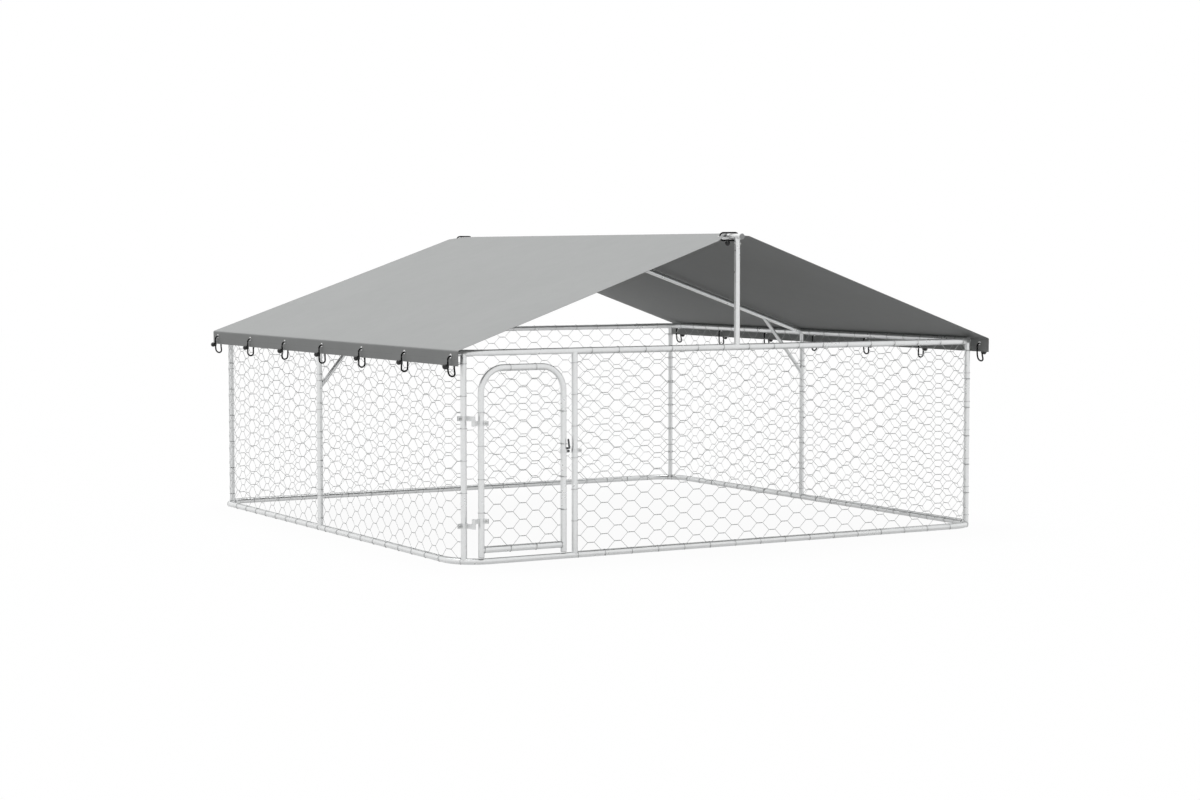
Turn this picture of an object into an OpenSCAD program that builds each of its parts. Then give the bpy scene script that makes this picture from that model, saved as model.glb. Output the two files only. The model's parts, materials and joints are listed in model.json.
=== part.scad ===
// Outdoor dog kennel run: a square of bent steel tube and wire net with an arched door,
// and a ridged canopy held down by ball bungees. Millimetres, +Z up, front towards -Y,
// origin on the ground in the middle of the run.

/* [Run] */
// Outside width of the run, from the left wall to the right wall
run_w = 3000; // [2400:10:3600]
// Outside depth of the run, from the front wall to the back wall
run_d = 3000; // [2400:10:3600]
// Height of the top rails at their centre line
wall_h = 958; // [860:1:1200]
// Height of the ridge tube at its centre line
ridge_h = 1484; // [1350:1:1800]
// Distance of the side posts behind the middle of the run
mid_post_y = 90; // [-200:1:200]

/* [Tubes] */
// Outside diameter of the frame tubes
tube_d = 28; // [24:0.5:32]
// Wall thickness of all the tubes
tube_wall = 1.2; // [0.8:0.1:2]
// Bend radius of the rail corners at the tube's centre line
corner_r = 155; // [120:1:200]
// Straight leg at each end of a rail corner
corner_leg = 60; // [48:1:100]
// Length of the sleeve inside each rail joint
sleeve_len = 80; // [40:1:90]
// How far the ridge tube reaches past each king post's centre
ridge_reach = 40; // [25:1:80]
// How far the rafters' centre line meets the middle below the ridge tube's centre
rafter_drop = 18; // [10:0.5:30]
// Outside diameter of the brace tubes
brace_d = 20; // [16:0.5:24]
// Height of a brace's foot on its side post
brace_foot_h = 724; // [600:1:800]
// Distance of a brace's head from the wall, measured along the rafter's level
brace_head_in = 269; // [180:1:360]

/* [Nets] */
// Width of one column of net gaps
net_pitch = 230; // [200:1:300]
// Height of one row of net gaps
net_row = 229; // [180:1:300]
// Length of a twisted, level stretch between two net gaps
net_twist = 143; // [100:1:160]
// Width of the net's wire
net_wire = 3; // [2:0.1:4]
// Thickness of the net's wire
net_t = 2.5; // [1.5:0.1:4]
// Gap between a net's side edge and a post, which leaves room for the clamps
net_clear = 3.2; // [3:0.1:6]

/* [Door] */
// Distance of the door post's centre from the left wall's centre plane
door_bay = 594; // [520:1:800]
// Distance from the corner post's centre to the door's hinge upright
hinge_space = 65; // [60:1:90]
// Distance from the door's latch upright to the door post's centre
latch_space = 59; // [54:1:64]
// Gap between the top rail's centre and the top of the door's centre line
door_head_gap = 68; // [40:1:120]
// Bend radius of the door's arch at the tube's centre line
door_bend_r = 115; // [80:1:150]
// Height of the uprights' feet above the ground
door_foot_h = 35; // [31:1:60]
// Height of the door's bottom bar above its feet
door_bar_rise = 31; // [20:1:80]
// Height of the lower hinge's seat
hinge_low_h = 187; // [140:1:260]
// Distance of the upper hinge's seat below the top of the door
hinge_top_drop = 239; // [200:1:320]
// Distance of the hinge axis to the left of the hinge upright
hinge_dx = 46; // [42:1:52]
// Distance of the hinge axis in front of the hinge upright
hinge_dy = 16; // [12:1:20]
// Diameter of the hinge pins
pin_d = 10; // [8:0.5:12]
// Outside diameter of the hinge barrels
barrel_d = 18; // [16:0.5:22]
// Height of the hinge straps
strap_h = 22; // [18:0.5:30]
// Thickness of the bands that go round a tube
band_t = 2.5; // [2:0.1:3]
// Height of the latch's pivot
latch_h = 497; // [400:1:600]
// Distance from the latch upright's centre to the latch's pivot
latch_reach = 22; // [21:0.5:25]
// Length of the latch's fork from its pivot to its tips
fork_len = 58; // [50:1:64]
// Angle at which the fork leans back over its upright while it is open
fork_lean = 8; // [4:1:10]

/* [Canopy] */
// How far the canopy reaches past the side rails' centre
canopy_over = 24; // [20:1:40]
// How far the canopy reaches past the front and back rails' centre at its corners
canopy_end_over = 41; // [30:1:50]
// How far the canopy's notch over the ridge stops short of the front and back rails' centre
canopy_ridge_in = 81; // [60:1:140]
// Width of that notch on the bungee's side of the ridge
notch_near = 106; // [90:1:140]
// Width of that notch on the other side of the ridge
notch_far = 40; // [34:1:60]
// How far the canopy's ends are drawn in beside the notch, on the bungee's side
canopy_draw = 40; // [10:1:60]
// Height of the canopy above the side rails, where it lies on the net's ties
eave_lift = 5; // [3:0.5:8]
// Thickness of the canopy's sheet
canopy_t = 1.2; // [0.8:0.1:2]
// Height of the canopy's hanging edge
valance_h = 70; // [64:1:110]
// Number of bungees along each side
bungee_count = 7; // [3:2:9]
// Distance of the last bungee on a side from the canopy's corner
bungee_end = 72; // [40:1:120]
// Height of an eyelet's centre above the hem
eyelet_rise = 44; // [34:1:50]
// Radius of an eyelet's hole
eyelet_r = 5.5; // [5:0.1:7]
// Outside radius of an eyelet's rims
eyelet_rim_r = 10; // [9:0.1:12]
// Diameter of the bungees' elastic cord
cord_d = 8; // [4:0.1:8.4]
// Radius of the bends at the two ends of a bungee's loop
loop_r = 16; // [12:0.5:17]
// Length of the straight stretches of a bungee's loop
loop_len = 58; // [50:1:90]
// Diameter of the bungees' balls
ball_d = 25; // [20:0.5:30]
// Depth of a ball's collar below the top of its loop
ball_drop = 46; // [35:1:55]
// Distance of the ridge's eyelets from the ridge, to the left at the front and to the right at the back
ridge_bungee_x = 40; // [36:1:80]
// Distance of the ridge's eyelets from the end of the notch
ridge_eyelet_in = 10.5; // [8:0.5:30]
// Angle at which the ridge's bungees cross over the ridge tube
ridge_loop_turn = 52; // [40:1:54]
// Distance of the ridge's balls from their eyelets, along the loop
ridge_ball_in = 40; // [32:1:44]

/* [Hidden] */
$fn = 48;
steel = "gainsboro";
wire = "silver";
fabric = "darkgray";
dark = "dimgray";
rubber = "black";

// Clearances
seat = 0.1;
run_fit = 0.05;
band_fit = 0.15;
sleeve_fit = 0.1;
net_seat = 0.2;
rest_gap = 0.3;
roof_gap = 0.6;
bolt_fit = 0.2;
fork_gap = 1.3;
over = 1;

// Fastener sizes
bolt_d = 6;
bolt_head_d = 11;
bolt_head_h = 4;
nut_h = 5;
ear_t = 3;
ear_gap = 4;
ear_len = 18;
arm_t = 5;
cap_t = 2;
cap_depth = 12;
king_bolt_drop = 34;
rim_t = 1;
neck_wall = 0.6;
collar_wall = 2;
collar_h = 12;
ball_out = 14;
ball_flat_r = 1.5;
fork_t = 5;
fork_stem_w = 10;
fork_bridge = 14;
fork_tine_t = 4;
fork_tine_w = 8;
fork_side_gap = 0.5;
latch_band_h = 18;
latch_ear_r = 9;

// Frame places
tube_r = tube_d / 2;
hw = run_w / 2 - tube_r;
hd = run_d / 2 - tube_r;
post_in = corner_r * (1 - cos(45));
band_r = tube_r + band_fit + band_t;
bore_d = tube_d - 2 * tube_wall;
rail_low = tube_r;
rail_end_x = hw - corner_r - corner_leg;
rail_end_y = hd - corner_r - corner_leg;

// Roof places
roof_angle = atan2(ridge_h - wall_h - eave_lift, hw);
roof_half = hw + canopy_over;
apex_under = ridge_h + (tube_r + roof_gap) / cos(roof_angle);
apex = apex_under + canopy_t / cos(roof_angle);
eave = wall_h + eave_lift + (tube_r + roof_gap + canopy_t) / cos(roof_angle) - canopy_over * tan(roof_angle);
sheet_drop = canopy_t / cos(roof_angle);
hem = eave - valance_h;
eyelet_z = hem + eyelet_rise;
roof_end = hd + canopy_end_over;
ridge_end = hd - canopy_ridge_in;
bungee_pitch = 2 * (roof_end - bungee_end) / (bungee_count - 1);
rafter_top = [0, mid_post_y, ridge_h - rafter_drop];
rafter_foot = [hw, mid_post_y, wall_h];
rafter_slope = (rafter_top[2] - rafter_foot[2]) / hw;
brace_foot = [hw, mid_post_y, brace_foot_h];
brace_head = [hw - brace_head_in, mid_post_y, wall_h + brace_head_in * rafter_slope];

// Door places
door_post_x = -hw + door_bay;
door_right_x = door_post_x - latch_space;
door_left_x = -hw + post_in + hinge_space;
door_w = door_right_x - door_left_x;
door_top_h = wall_h - door_head_gap;
door_bar_h = door_foot_h + door_bar_rise;
hinge_top_h = door_top_h - hinge_top_drop;
hinge_x = door_left_x - hinge_dx;
hinge_y = -hd - hinge_dy;
post_x = -hw + post_in;
post_y = -hd + post_in;
latch_x = door_right_x + latch_reach;
fork_inner = band_r + fork_gap;
fork_half = fork_inner + fork_tine_t;
pivot_half = fork_t / 2 + fork_side_gap + ear_t;
post_ear_angle = 195;
eye_ear_angle = -50;

// Net places
net_low = 2 * tube_r + net_seat;
net_h = wall_h - tube_r - net_seat - net_low;
net_post = tube_r + net_clear;

// Bungee places
ridge_eyelet_y = ridge_end - ridge_eyelet_in;
ridge_sheet_z = apex - ridge_bungee_x * tan(roof_angle);
loop_inner = loop_r - cord_d / 2;
rim_half = canopy_t / 2 + run_fit + rim_t;
loop_sag = loop_inner - sqrt(pow(loop_inner, 2) - pow(rim_half, 2));
loop_seat = eyelet_r - cord_d / 2 - rest_gap - loop_sag;
collar_d = cord_d + 2 * collar_wall;
ridge_loop_r = tube_r + rest_gap + cord_d / 2;
ridge_loop_inner = ridge_loop_r - cord_d / 2;
ridge_rim_z = ridge_sheet_z - sheet_drop / 2 + eyelet_r * sin(roof_angle) + rim_half * cos(roof_angle);
ridge_loop_back = (ridge_loop_inner - sqrt(pow(ridge_loop_inner, 2) - pow(ridge_rim_z - ridge_h, 2))) / 2;
ridge_loop_len = (ridge_bungee_x + ridge_loop_r) / cos(ridge_loop_turn) - 2 * ridge_loop_r + ridge_loop_back;

// Turn of a corner bend about its centre, from the sides that it joins
function corner_turn(sx, sy) = sx > 0 ? (sy > 0 ? 0 : 270) : (sy > 0 ? 90 : 180);

// Length of the straight line between two points on the plan
function plan_gap(p, q) = norm([q[0] - p[0], q[1] - p[1]]);

// Corners of one six-sided net gap about its own centre
function gap_points(top, tip, half) = [
  [-top, half], [top, half], [tip, 0], [top, -half], [-top, -half], [-tip, 0]
];

// Lays its children along the line from p towards q
module along(p, q) {
  v = q - p;
  translate(p) rotate([0, acos(v[2] / norm(v)), atan2(v[1], v[0])]) children();
}

// Solid bar from p to q
module bar(p, q, d) {
  along(p, q) cylinder(d = d, h = norm(q - p));
}

// Hollow tube from p to q
module pipe(p, q, d) {
  difference() {
    bar(p, q, d);
    along(p, q) translate([0, 0, -over]) cylinder(d = d - 2 * tube_wall, h = norm(q - p) + 2 * over);
  }
}

// Quarter bend with a straight leg at each end, about its own centre
module bend(r, d, leg) {
  rotate_extrude(angle = 90) translate([r, 0]) circle(d = d);
  translate([r, 0, 0]) rotate([90, 0, 0]) cylinder(d = d, h = leg);
  translate([0, r, 0]) rotate([0, -90, 0]) cylinder(d = d, h = leg);
}

// Puts a corner bend where the rails meet
module at_corner(sx, sy, z) {
  translate([sx * (hw - corner_r), sy * (hd - corner_r), z]) rotate([0, 0, corner_turn(sx, sy)]) children();
}

module rail_corner(sx, sy, z) {
  color(steel) at_corner(sx, sy, z) difference() {
    bend(corner_r, tube_d, corner_leg);
    bend(corner_r, bore_d, corner_leg + over);
  }
}

// Rail along the front or the back
module rail_across(sy, z) {
  color(steel) pipe([-rail_end_x, sy * hd, z], [rail_end_x, sy * hd, z], tube_d);
}

// Rail along the left or the right side
module rail_deep(sx, z) {
  color(steel) pipe([sx * hw, -rail_end_y, z], [sx * hw, rail_end_y, z], tube_d);
}

// Sleeve that joins two tube ends, centred on the joint
module sleeve() {
  sleeve_d = bore_d - 2 * sleeve_fit;
  difference() {
    cylinder(d = sleeve_d, h = sleeve_len, center = true);
    cylinder(d = sleeve_d - 2 * tube_wall, h = sleeve_len + over, center = true);
  }
}

module rail_sleeves() {
  color(dark) for (z = [rail_low, wall_h], sx = [-1, 1], sy = [-1, 1]) {
    translate([sx * rail_end_x, sy * hd, z]) rotate([0, 90, 0]) sleeve();
    translate([sx * hw, sy * rail_end_y, z]) rotate([90, 0, 0]) sleeve();
  }
}

// Post between the two rings of rails, coped to the bends that it stands on
module corner_post(sx, sy) {
  x = sx * (hw - post_in);
  y = sy * (hd - post_in);
  color(steel) difference() {
    pipe([x, y, rail_low], [x, y, wall_h], tube_d);
    at_corner(sx, sy, rail_low) bend(corner_r, tube_d + 2 * seat, corner_leg);
    at_corner(sx, sy, wall_h) bend(corner_r, tube_d + 2 * seat, corner_leg);
  }
}

module mid_post(sx) {
  color(steel) difference() {
    pipe([sx * hw, mid_post_y, rail_low], [sx * hw, mid_post_y, wall_h], tube_d);
    for (z = [rail_low, wall_h]) {
      bar([sx * hw, -rail_end_y, z], [sx * hw, rail_end_y, z], tube_d + 2 * seat);
    }
  }
}

module door_post() {
  color(steel) difference() {
    pipe([door_post_x, -hd, rail_low], [door_post_x, -hd, wall_h], tube_d);
    for (z = [rail_low, wall_h]) {
      bar([-rail_end_x, -hd, z], [rail_end_x, -hd, z], tube_d + 2 * seat);
    }
  }
}

// Solid of the ridge tube with a chosen diameter
module ridge_bar(d) {
  bar([0, -hd - ridge_reach, ridge_h], [0, hd + ridge_reach, ridge_h], d);
}

module king_post(sy) {
  color(steel) difference() {
    pipe([0, sy * hd, wall_h], [0, sy * hd, ridge_h], tube_d);
    bar([-rail_end_x, sy * hd, wall_h], [rail_end_x, sy * hd, wall_h], tube_d + 2 * seat);
    ridge_bar(tube_d + 2 * seat);
    translate([0, sy * hd, ridge_h - king_bolt_drop]) rotate([0, 90, 0])
      cylinder(d = bolt_d + 2 * bolt_fit, h = tube_d + 2 * over, center = true);
  }
}

// Bolt along +X with its nut, gripping a stack centred on the origin
module bolt(grip) {
  rotate([0, 90, 0]) {
    cylinder(d = bolt_d, h = grip + 2 * nut_h + over, center = true);
    translate([0, 0, grip / 2]) cylinder(d = bolt_head_d, h = nut_h, $fn = 6);
    translate([0, 0, -grip / 2 - bolt_head_h]) cylinder(d = bolt_head_d, h = bolt_head_h);
  }
}

module king_post_bolts() {
  color(dark) for (sy = [-1, 1]) {
    translate([0, sy * hd, ridge_h - king_bolt_drop]) bolt(tube_d);
  }
}

module ridge_tube() {
  color(steel) pipe([0, -hd - ridge_reach, ridge_h], [0, hd + ridge_reach, ridge_h], tube_d);
}

// Plug with a flat head for an open tube end, head towards +Z
module tube_plug() {
  cylinder(d = tube_d, h = cap_t);
  translate([0, 0, -cap_depth]) cylinder(d = bore_d - 2 * sleeve_fit, h = cap_depth);
}

module ridge_caps() {
  color(steel) for (sy = [-1, 1]) {
    translate([0, sy * (hd + ridge_reach), ridge_h]) rotate([-sy * 90, 0, 0]) tube_plug();
  }
}

// Mirrors its children to the left for sx of -1
module on_side(sx) {
  if (sx > 0) {
    children();
  } else {
    mirror([1, 0, 0]) children();
  }
}

module rafter(sx) {
  color(steel) on_side(sx) difference() {
    pipe(rafter_top, rafter_foot, tube_d);
    ridge_bar(tube_d + 2 * seat);
    bar([hw, -rail_end_y, wall_h], [hw, rail_end_y, wall_h], tube_d + 2 * seat);
    bar([hw, mid_post_y, rail_low], [hw, mid_post_y, wall_h + seat], tube_d + 2 * seat);
    translate([seat - tube_d, mid_post_y - tube_d, rafter_top[2] - 2 * tube_d])
      cube([tube_d, 2 * tube_d, 4 * tube_d]);
  }
}

module brace(sx) {
  color(steel) on_side(sx) difference() {
    pipe(brace_foot, brace_head, brace_d);
    bar([hw, mid_post_y, rail_low], [hw, mid_post_y, wall_h], tube_d + 2 * seat);
    bar(rafter_top, rafter_foot, tube_d + 2 * seat);
  }
}

// Openings of a net sheet of width w and height h, with every second column half a row lower
module net_gaps(w, h) {
  cols = max(1, round(w / net_pitch));
  rows = max(1, round(h / net_row));
  pitch = w / cols;
  row = h / rows;
  twist = net_twist * pitch / net_pitch;
  lean = pitch - twist;
  slant = net_wire * norm([lean, row / 2]) / row;
  half = (row - net_wire) / 2;
  tip = pitch - twist / 2 - slant;
  top = tip - lean * 2 * half / row;
  intersection() {
    translate([net_wire, net_wire]) square([w - 2 * net_wire, h - 2 * net_wire]);
    for (i = [-1 : cols]) {
      low = abs(i) % 2;
      for (j = [0 : rows - 1 + low]) {
        translate([(i + 0.5) * pitch, (j + (1 - low) / 2) * row]) polygon(gap_points(top, tip, half));
      }
    }
  }
}

// Flat net with its border
module net_sheet(w, h) {
  difference() {
    square([w, h]);
    net_gaps(w, h);
  }
}

// Net in a side wall from y0 to y1
module net_deep(sx, y0, y1) {
  translate([sx * hw, y0, net_low]) rotate([90, 0, 90])
    linear_extrude(height = net_t, center = true) net_sheet(y1 - y0, net_h);
}

// Net in the front or back wall from x0 to x1
module net_across(sy, x0, x1) {
  translate([x0, sy * hd, net_low]) rotate([90, 0, 0])
    linear_extrude(height = net_t, center = true) net_sheet(x1 - x0, net_h);
}

// Strip of net from the end of a wall's straight stretch to its corner post
module net_turn(p, q) {
  w = plan_gap(p, q) - net_post;
  translate([p[0], p[1], net_low]) rotate([0, 0, atan2(q[1] - p[1], q[0] - p[0])]) rotate([90, 0, 0])
    linear_extrude(height = net_t, center = true)
      translate([-net_wire / 2, 0]) net_sheet(w + net_wire / 2, net_h);
}

// Strip at the end of a side wall
module net_turn_deep(sx, sy) {
  net_turn([sx * hw, sy * (hd - corner_r)], [sx * (hw - post_in), sy * (hd - post_in)]);
}

// Strip at the end of the front or back wall
module net_turn_across(sx, sy) {
  net_turn([sx * (hw - corner_r), sy * hd], [sx * (hw - post_in), sy * (hd - post_in)]);
}

// The net is cut away round the bolt of the latch's keeper
module net_front() {
  color(wire) difference() {
    union() {
      net_across(-1, door_post_x + net_post, hw - corner_r);
      net_turn_across(1, -1);
    }
    translate([door_post_x, -hd, latch_h - latch_band_h / 2]) ear_bolt_place(latch_band_h, 0)
      cylinder(d = bolt_d + 2 * rest_gap, h = ear_len, center = true);
  }
}

module net_back() {
  color(wire) {
    net_across(1, -hw + corner_r, hw - corner_r);
    net_turn_across(-1, 1);
    net_turn_across(1, 1);
  }
}

module net_side_front(sx) {
  color(wire) {
    net_deep(sx, -hd + corner_r, mid_post_y - net_post);
    net_turn_deep(sx, -1);
  }
}

module net_side_back(sx) {
  color(wire) {
    net_deep(sx, mid_post_y + net_post, hd - corner_r);
    net_turn_deep(sx, 1);
  }
}

// Section of the two roof slopes
module roof_section() {
  polygon([
    [-roof_half, eave], [0, apex], [roof_half, eave],
    [roof_half, eave - sheet_drop], [0, apex - sheet_drop], [-roof_half, eave - sheet_drop]
  ]);
}

// Plan of the canopy, drawn back over the ridge by its bungees and alike when turned half round
module roof_plan() {
  front = [
    [-roof_half, -roof_end], [-notch_near, canopy_draw - roof_end], [-tube_r, -ridge_end],
    [tube_r, -ridge_end], [notch_far, -roof_end], [roof_half, -roof_end]
  ];
  polygon(concat(front, [for (p = front) -p]));
}

// Repeats its children at every side bungee, with -X pointing out of the run
module at_side_bungees(z) {
  for (sx = [-1, 1], k = [0 : bungee_count - 1]) {
    translate([sx * (roof_half - canopy_t / 2), (k - (bungee_count - 1) / 2) * bungee_pitch, z])
      rotate([0, 0, sx < 0 ? 0 : 180]) children();
  }
}

// Repeats its children at the two ridge bungees, laid from the eyelet over the ridge, with -X pointing down
module at_ridge_bungees() {
  for (turn = [0, 180]) {
    rotate([0, 0, turn]) translate([-ridge_bungee_x, -ridge_eyelet_y, ridge_h])
      rotate([0, 0, -ridge_loop_turn]) translate([-ridge_loop_back, 0, 0]) rotate([0, -90, 0]) children();
  }
}

// Repeats its children at every eyelet, along the eyelet's own axis
module at_eyelets() {
  at_side_bungees(eyelet_z) rotate([0, 90, 0]) children();
  for (turn = [0, 180]) {
    rotate([0, 0, turn]) translate([-ridge_bungee_x, -ridge_eyelet_y, ridge_sheet_z - sheet_drop / 2])
      rotate([0, -roof_angle, 0]) children();
  }
}

module canopy() {
  color(fabric) difference() {
    union() {
      intersection() {
        rotate([90, 0, 0]) linear_extrude(height = 2 * roof_end, center = true) roof_section();
        translate([0, 0, hem]) linear_extrude(height = apex) roof_plan();
      }
      for (sx = [-1, 1]) {
        translate([sx * (roof_half - canopy_t / 2) - canopy_t / 2, -roof_end, hem])
          cube([canopy_t, 2 * roof_end, valance_h - sheet_drop / 2]);
      }
    }
    at_eyelets() cylinder(r = eyelet_r + neck_wall + run_fit, h = 3 * eyelet_r, center = true);
  }
}

// Eyelet with a rim on each face of the sheet
module eyelet() {
  face = canopy_t / 2 + run_fit;
  difference() {
    union() {
      cylinder(r = eyelet_r + neck_wall, h = 2 * face + rim_t, center = true);
      for (side = [0, 180]) {
        rotate([side, 0, 0]) translate([0, 0, face]) cylinder(r = eyelet_rim_r, h = rim_t);
      }
    }
    cylinder(r = eyelet_r, h = 2 * (face + rim_t + over), center = true);
  }
}

module eyelets() {
  color(wire) at_eyelets() eyelet();
}

// Elastic loop with bends of radius r that hangs down from its top at the origin, in the plane of X and Z
module bungee_loop(r, len) {
  for (turn = [[0, -r], [180, -r - len]]) {
    translate([0, 0, turn[1]]) rotate([90, 0, 0]) rotate([0, 0, turn[0]])
      rotate_extrude(angle = 180) translate([r, 0]) circle(d = cord_d);
  }
  for (sx = [-1, 1]) {
    translate([sx * r, 0, -r - len]) cylinder(d = cord_d, h = len);
  }
}

module bungee_loops() {
  color(rubber) {
    at_side_bungees(eyelet_z - loop_seat) bungee_loop(loop_r, loop_len);
    at_ridge_bungees() bungee_loop(ridge_loop_r, ridge_loop_len);
  }
}

// Moulded ball with a small flat at each end of its X axis
module ball_form() {
  flat_x = sqrt(pow(ball_d / 2, 2) - pow(ball_flat_r, 2));
  rotate([0, 90, 0]) rotate_extrude() intersection() {
    circle(d = ball_d);
    translate([0, -flat_x]) square([ball_d, 2 * flat_x]);
  }
}

// Ball on a collar that grips the outer side of a loop with bends of radius r
module bungee_ball(r, drop) {
  translate([-r, 0, -drop]) difference() {
    union() {
      cylinder(d = collar_d, h = collar_h, center = true);
      translate([-ball_out, 0, 0]) ball_form();
    }
    cylinder(d = cord_d + 2 * run_fit, h = 2 * ball_d, center = true);
  }
}

module bungee_balls() {
  color(rubber) {
    at_side_bungees(eyelet_z - loop_seat) bungee_ball(loop_r, ball_drop);
    at_ridge_bungees() bungee_ball(ridge_loop_r, ridge_ball_in);
  }
}

// Outline of a band round a tube, with its two ears in the direction of angle a
module band_outline(a) {
  circle(r = band_r);
  rotate(a) translate([0, -ear_gap / 2 - ear_t]) square([band_r + ear_len, ear_gap + 2 * ear_t]);
}

// Outline of the tube's hole and of the split between a band's ears
module band_cut(a) {
  circle(r = tube_r + band_fit);
  rotate(a) translate([0, -ear_gap / 2]) square([band_r + ear_len + over, ear_gap]);
}

// Outline of a hinge strap from its band to the barrel at a place
module strap_outline(a, to) {
  band_outline(a);
  rotate(atan2(to[1], to[0])) translate([0, -arm_t / 2]) square([norm(to), arm_t]);
  translate(to) circle(d = barrel_d);
}

// Axis of the bolt through a band's ears
module ear_bolt_place(h, a) {
  rotate([0, 0, a]) translate([band_r + ear_len / 2, 0, h / 2]) rotate([90, 0, 0]) children();
}

// Hole for the bolt through a band's ears
module ear_bolt_hole(h, a) {
  ear_bolt_place(h, a) cylinder(d = bolt_d + 2 * bolt_fit, h = 2 * ear_gap + 4 * ear_t, center = true);
}

module ear_bolt(h, a) {
  ear_bolt_place(h, a) rotate([0, 90, 0]) bolt(ear_gap + 2 * ear_t);
}

// Hinge half on the corner post: its pin points down for dir of -1, and up for 1
module hinge_pintle(z, dir) {
  base = dir > 0 ? z - strap_h : z + rest_gap;
  reach = [hinge_x - post_x, hinge_y - post_y];
  pin_len = 2 * strap_h;
  color(steel) {
    translate([post_x, post_y, base]) difference() {
      linear_extrude(height = strap_h) difference() {
        strap_outline(post_ear_angle, reach);
        band_cut(post_ear_angle);
      }
      ear_bolt_hole(strap_h, post_ear_angle);
    }
    translate([hinge_x, hinge_y, dir > 0 ? base + cap_t : base + strap_h - cap_t - pin_len])
      cylinder(d = pin_d, h = pin_len);
  }
}

// Hinge half on the door: it turns on the pin
module hinge_eye(z, dir) {
  base = dir > 0 ? z + rest_gap : z - strap_h;
  reach = [-hinge_dx, -hinge_dy];
  color(steel) translate([door_left_x, -hd, base]) difference() {
    linear_extrude(height = strap_h) difference() {
      strap_outline(eye_ear_angle, reach);
      band_cut(eye_ear_angle);
      translate(reach) circle(d = pin_d + 2 * run_fit);
    }
    ear_bolt_hole(strap_h, eye_ear_angle);
  }
}

// Band on the door post that the latch's fork drops over
module latch_keeper() {
  color(steel) translate([door_post_x, -hd, latch_h - latch_band_h / 2]) difference() {
    linear_extrude(height = latch_band_h) difference() {
      band_outline(0);
      band_cut(0);
    }
    ear_bolt_hole(latch_band_h, 0);
  }
}

module post_clamp_bolts() {
  color(dark) {
    translate([post_x, post_y, hinge_low_h - strap_h]) ear_bolt(strap_h, post_ear_angle);
    translate([post_x, post_y, hinge_top_h + rest_gap]) ear_bolt(strap_h, post_ear_angle);
    translate([door_post_x, -hd, latch_h - latch_band_h / 2]) ear_bolt(latch_band_h, 0);
  }
}

// Ring of the frame tubes' section
module tube_section() {
  difference() {
    circle(d = tube_d);
    circle(d = bore_d);
  }
}

module door_frame() {
  bend_z = door_top_h - door_bend_r;
  bend_left_x = door_left_x + door_bend_r;
  bend_right_x = door_right_x - door_bend_r;
  color(steel) {
    for (turn = [[bend_left_x, 90], [bend_right_x, 0]]) {
      translate([turn[0], -hd, bend_z]) rotate([90, 0, 0]) rotate([0, 0, turn[1]])
        rotate_extrude(angle = 90) translate([door_bend_r, 0]) tube_section();
    }
    pipe([bend_left_x, -hd, door_top_h], [bend_right_x, -hd, door_top_h], tube_d);
    for (x = [door_left_x, door_right_x]) {
      pipe([x, -hd, door_foot_h], [x, -hd, bend_z], tube_d);
    }
  }
}

module door_bottom_bar() {
  color(steel) difference() {
    pipe([door_left_x, -hd, door_bar_h], [door_right_x, -hd, door_bar_h], tube_d);
    for (x = [door_left_x, door_right_x]) {
      bar([x, -hd, door_foot_h], [x, -hd, door_top_h - door_bend_r], tube_d + 2 * seat);
    }
  }
}

module door_feet() {
  color(steel) for (x = [door_left_x, door_right_x]) {
    translate([x, -hd, door_foot_h]) rotate([180, 0, 0]) tube_plug();
  }
}

// Opening inside the door's tubes, drawn in by inset
module door_opening(inset) {
  w = door_w - 2 * (net_post + inset);
  r = door_bend_r - net_post - inset;
  low = door_bar_h + tube_r + net_seat + inset;
  high = door_top_h - net_post - inset;
  translate([(door_left_x + door_right_x) / 2, 0]) {
    translate([-w / 2, low]) square([w, high - r - low]);
    translate([-w / 2 + r, low]) square([w - 2 * r, high - low]);
    for (sx = [-1, 1]) {
      translate([sx * (w / 2 - r), high - r]) circle(r = r);
    }
  }
}

module door_net() {
  w = door_w - 2 * net_post;
  low = door_bar_h + tube_r + net_seat;
  color(wire) translate([0, -hd, 0]) rotate([90, 0, 0])
    linear_extrude(height = net_t, center = true) difference() {
    door_opening(0);
    intersection() {
      door_opening(net_wire);
      translate([door_left_x + net_post, low]) net_gaps(w, door_top_h - net_post - low);
    }
  }
}

module door_clamp_bolts() {
  color(dark) {
    translate([door_left_x, -hd, hinge_low_h + rest_gap]) ear_bolt(strap_h, eye_ear_angle);
    translate([door_left_x, -hd, hinge_top_h - strap_h]) ear_bolt(strap_h, eye_ear_angle);
  }
}

// Band on the latch upright, with two round ears that carry the fork
module latch_clamp() {
  slot = fork_t + 2 * fork_side_gap;
  color(steel) translate([door_right_x, -hd, latch_h]) difference() {
    union() {
      cylinder(r = band_r, h = latch_band_h, center = true);
      translate([0, -pivot_half, -latch_ear_r]) cube([latch_reach, 2 * pivot_half, 2 * latch_ear_r]);
      translate([latch_reach, 0, 0]) rotate([90, 0, 0])
        cylinder(r = latch_ear_r, h = 2 * pivot_half, center = true);
    }
    cylinder(r = tube_r + band_fit, h = latch_band_h + over, center = true);
    translate([0, -slot / 2, -2 * latch_ear_r]) cube([latch_reach + 2 * latch_ear_r, slot, 4 * latch_ear_r]);
    translate([latch_reach, 0, 0]) rotate([90, 0, 0])
      cylinder(d = bolt_d + 2 * run_fit, h = 2 * pivot_half + over, center = true);
  }
}

module latch_pivot() {
  color(dark) translate([latch_x, -hd, latch_h]) rotate([0, 0, 90]) bolt(2 * pivot_half);
}

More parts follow.
